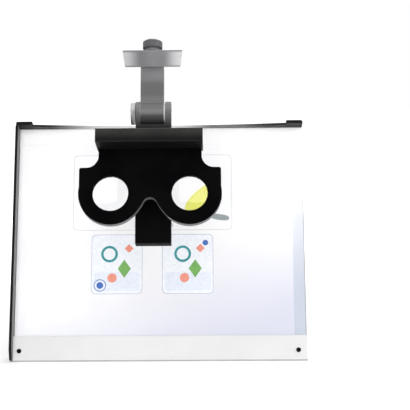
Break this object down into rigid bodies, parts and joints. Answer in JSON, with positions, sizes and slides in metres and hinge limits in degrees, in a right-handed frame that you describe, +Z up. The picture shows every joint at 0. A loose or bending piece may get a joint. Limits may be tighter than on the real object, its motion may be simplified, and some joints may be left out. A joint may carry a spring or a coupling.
{
  "type": "table-top lens stereoscope",
  "caption": "Leaning picture board on a prop leg, with a two-lens viewing head hung in front of it from a sliding rail, a swivelling stalk and a tilting fork.",
  "frame": {"origin": "on the table under the board's white face, in the middle of its width", "axes": "+X to the viewer's right, +Y away from the viewer, +Z up"},
  "size_m": [0.313, 0.3076, 0.3356],
  "materials": {
    "black_board": "satin black lacquer",
    "white_face": "satin white laminate",
    "ledge_white": "satin warm white",
    "black_plastic": "satin black",
    "dark_plastic": "satin dark grey",
    "bright_metal": "turned bright",
    "rail_steel": "bright drawn steel",
    "white_metal": "white powder coat",
    "screw_steel": "plated",
    "screw_black": "blacked",
    "rubber": "matt",
    "white_nylon": "white nylon",
    "lens_glass": "polished",
    "picture_card": "satin white card"
  },
  "bodies": {
    "stand": {"back_board": "black_board", "face_board": "white_face", "side_stop": "black_plastic", "top_lip": "dark_plastic", "corner_clip_left": "black_plastic", "corner_clip_right": "black_plastic", "clip_screws": "screw_black", "ledge": "ledge_white", "ledge_screws": "screw_black", "base_strip": "rubber", "leg_hinge_bracket": "rail_steel", "leg_hinge_pin": "screw_steel", "rail_bracket": "white_metal", "bracket_screws": "screw_steel"},
    "sheet": {"picture_sheet": "picture_card"},
    "leg": {"prop_leg": "black_board", "leg_foot": "rubber"},
    "rail_clamp": {"rail_clamp_knob": "dark_plastic"},
    "carriage": {"rail": "rail_steel", "rail_stop_screw": "screw_black", "crosshead": "dark_plastic", "crosshead_screw": "screw_steel"},
    "stalk": {"stalk": "dark_plastic", "swivel_washer": "dark_plastic"},
    "cap": {"cap_nut": "dark_plastic"},
    "head": {"backbone": "black_plastic", "friction_washers": "white_nylon", "tilt_bolt": "screw_steel", "spacer_block": "black_plastic", "face_mask": "black_plastic", "lens_plate": "black_plastic", "brow_rest": "black_plastic", "brow_screws": "screw_black", "plate_screws": "screw_black", "spine_screws": "screw_steel", "lens_left": "lens_glass", "lens_right": "lens_glass", "lens_ring_left": "black_plastic", "lens_ring_right": "black_plastic", "septum": "black_plastic", "septum_screws": "screw_steel"},
    "tilt_clamp": {"tilt_knob": "bright_metal"}
  },
  "joints": [
    {"name": "leg_fold", "type": "hinge", "parent": "stand", "child": "leg", "pos_m": [0, 0.08198, 0.16265], "axis": [1, 0, 0], "range_deg": [-42, 0]},
    {"name": "sheet_slide", "type": "slide", "parent": "stand", "child": "sheet", "axis": [1, 0, 0], "range_m": [0, 0.16]},
    {"name": "rail_clamp_turn", "type": "hinge", "parent": "stand", "child": "rail_clamp", "pos_m": [0, 0.10887, 0.21458], "axis": [0, 0.342, 0.9397], "continuous": true},
    {"name": "rail_slide", "type": "slide", "parent": "stand", "child": "carriage", "axis": [0, 0.9397, -0.342], "range_m": [0, 0.04]},
    {"name": "head_swivel", "type": "hinge", "parent": "carriage", "child": "stalk", "pos_m": [0, -0.05578, 0.31335], "axis": [0, 0.342, 0.9397], "continuous": true},
    {"name": "cap_turn", "type": "hinge", "parent": "stalk", "child": "cap", "pos_m": [0, -0.05459, 0.31664], "axis": [0, 0.342, 0.9397], "continuous": true},
    {"name": "head_tilt", "type": "hinge", "parent": "stalk", "child": "head", "pos_m": [0, -0.07442, 0.26214], "axis": [-1, 0, 0], "range_deg": [-15, 35]},
    {"name": "tilt_knob_turn", "type": "hinge", "parent": "head", "child": "tilt_clamp", "pos_m": [-0.02, -0.07442, 0.26214], "axis": [-1, 0, 0], "continuous": true}
  ]
}
